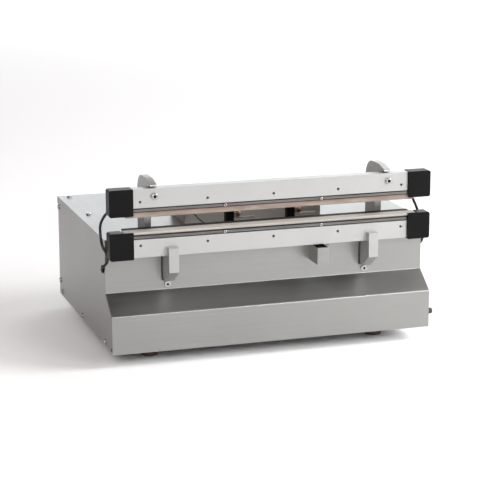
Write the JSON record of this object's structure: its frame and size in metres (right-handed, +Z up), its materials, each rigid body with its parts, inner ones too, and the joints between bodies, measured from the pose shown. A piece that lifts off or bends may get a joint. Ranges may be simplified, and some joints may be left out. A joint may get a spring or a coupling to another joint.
{
  "type": "impulse heat sealer",
  "caption": "Bench-top impulse heat sealer: boxy stepped steel housing, fixed upper jaw on posts and a lower jaw that lifts on guided carrier arms.",
  "frame": {"origin": "on the floor under the middle of the machine's box", "axes": "+X to the right along the jaws, +Y to the rear, +Z up"},
  "size_m": [0.5148, 0.3756, 0.273],
  "materials": {
    "stainless": "brushed stainless sheet",
    "jaw_aluminium": "satin anodised aluminium",
    "cast_grey": "satin light grey plate",
    "black_plastic": "moulded black plastic",
    "tape": "tan woven glass tape",
    "silicone": "beige silicone",
    "foot_rubber": "brown rubber",
    "steel_hardware": "bright zinc-plated steel",
    "band_alloy": "resistance alloy band",
    "brass": "plain brass",
    "bronze": "sintered bronze",
    "frame_steel": "grey painted steel",
    "core_steel": "stacked steel laminations",
    "winding": "varnished copper winding",
    "board": "green circuit board",
    "lead_rubber": "black rubber-sheathed lead",
    "lamp_green": "green lamp lens",
    "rocker_red": "red rocker"
  },
  "bodies": {
    "root": {"base_tray": "stainless", "board_spacers": "brass", "control_board": "board", "control_console": "stainless", "cord_gland": "black_plastic", "film_switches": "black_plastic", "front_panel": "stainless", "fuse_holder": "black_plastic", "guide_bridge": "frame_steel", "guide_shafts": "steel_hardware", "housing_screws": "steel_hardware", "lead_grommets": "black_plastic", "position_sensor": "black_plastic", "post_bolts": "steel_hardware", "post_brackets": "frame_steel", "post_left": "cast_grey", "post_right": "cast_grey", "power_lamp": "lamp_green", "rear_panel": "stainless", "return_springs": "steel_hardware", "rocker_housing": "black_plastic", "rubber_feet": "foot_rubber", "side_panel_left": "stainless", "side_panel_right": "stainless", "side_plug": "foot_rubber", "slot_screws": "steel_hardware", "solenoid_coils": "winding", "solenoid_yokes": "frame_steel", "top_cover": "stainless", "transformer_core": "core_steel", "transformer_winding": "winding", "trip_hood": "stainless", "upper_band_clamps": "brass", "upper_cap_left": "black_plastic", "upper_cap_right": "black_plastic", "upper_clamp_screws": "steel_hardware", "upper_clamp_strip": "jaw_aluminium", "upper_heating_band": "band_alloy", "upper_insulating_pad": "silicone", "upper_jaw_bar": "jaw_aluminium", "upper_leads": "lead_rubber", "upper_tape": "tape"},
    "lower_jaw": {"lower_jaw_bar": "jaw_aluminium", "lower_clamp_strip": "jaw_aluminium", "lower_clamp_screws": "steel_hardware", "lower_sealing_strip": "silicone", "lower_rear_shelf": "black_plastic", "lower_cap_left": "black_plastic", "lower_cap_right": "black_plastic", "carrier_arm_left": "cast_grey", "carrier_arm_right": "cast_grey", "carriage_beam": "jaw_aluminium", "carrier_bolts": "steel_hardware", "guide_bushes": "bronze", "solenoid_plungers": "steel_hardware", "trip_rod": "steel_hardware"},
    "time_dial": {"time_knob": "black_plastic"},
    "rocker": {"power_rocker": "rocker_red"},
    "left_lever": {"film_lever_left": "steel_hardware"},
    "right_lever": {"film_lever_right": "steel_hardware"}
  },
  "joints": [
    {"name": "jaw_lift", "type": "slide", "parent": "root", "child": "lower_jaw", "axis": [0, 0, 1], "range_m": [0, 0.02], "stiffness_N_per_m": 600, "springref_m": -0.03, "deforming": ["return_springs"]},
    {"name": "time_dial_turn", "type": "hinge", "parent": "root", "child": "time_dial", "pos_m": [0.052, -0.0412, 0.2226], "axis": [0, 0, 1], "range_deg": [-135, 135]},
    {"name": "power_rocker_tilt", "type": "hinge", "parent": "root", "child": "rocker", "pos_m": [-0.06, -0.0412, 0.2226], "axis": [-1, 0, 0], "range_deg": [0, 14]},
    {"name": "left_lever_press", "type": "hinge", "parent": "root", "child": "left_lever", "pos_m": [-0.041, -0.1122, 0.199], "axis": [0, 1, 0], "range_deg": [0, 12], "stiffness_Nm_per_rad": 0.05, "springref_deg": -17.19},
    {"name": "right_lever_press", "type": "hinge", "parent": "root", "child": "right_lever", "pos_m": [0.056, -0.1122, 0.199], "axis": [0, 1, 0], "range_deg": [0, 12], "stiffness_Nm_per_rad": 0.05, "springref_deg": -17.19}
  ]
}
